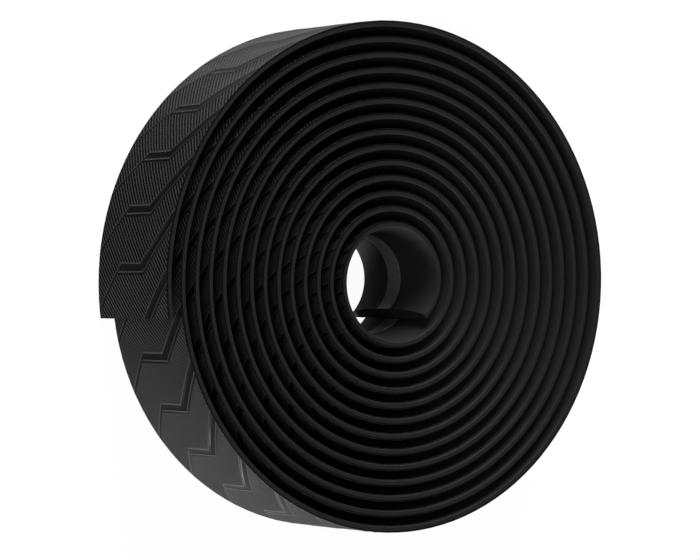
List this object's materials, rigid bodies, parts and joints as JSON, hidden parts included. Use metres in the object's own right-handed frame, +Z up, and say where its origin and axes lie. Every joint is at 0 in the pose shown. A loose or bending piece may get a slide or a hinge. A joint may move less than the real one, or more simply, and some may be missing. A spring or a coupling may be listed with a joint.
{
  "type": "handlebar tape roll",
  "caption": "Long foam grip tape with pressed slanting bands and an adhesive strip along its back, wound into a flat spiral roll with an open core.",
  "frame": {"origin": "on the surface that the roll stands on, under the middle of its footprint", "axes": "+Z up along the roll's axis; +X towards the side opposite the outer end; seen from above the tape winds outwards counter-clockwise"},
  "size_m": [0.1142, 0.1124, 0.03],
  "materials": {
    "foam": "matte black foam with a fine ribbed grip side",
    "adhesive": "satin dark grey"
  },
  "bodies": {
    "root": {"handlebar_tape": "foam", "adhesive_strip": "adhesive"}
  },
  "joints": []
}
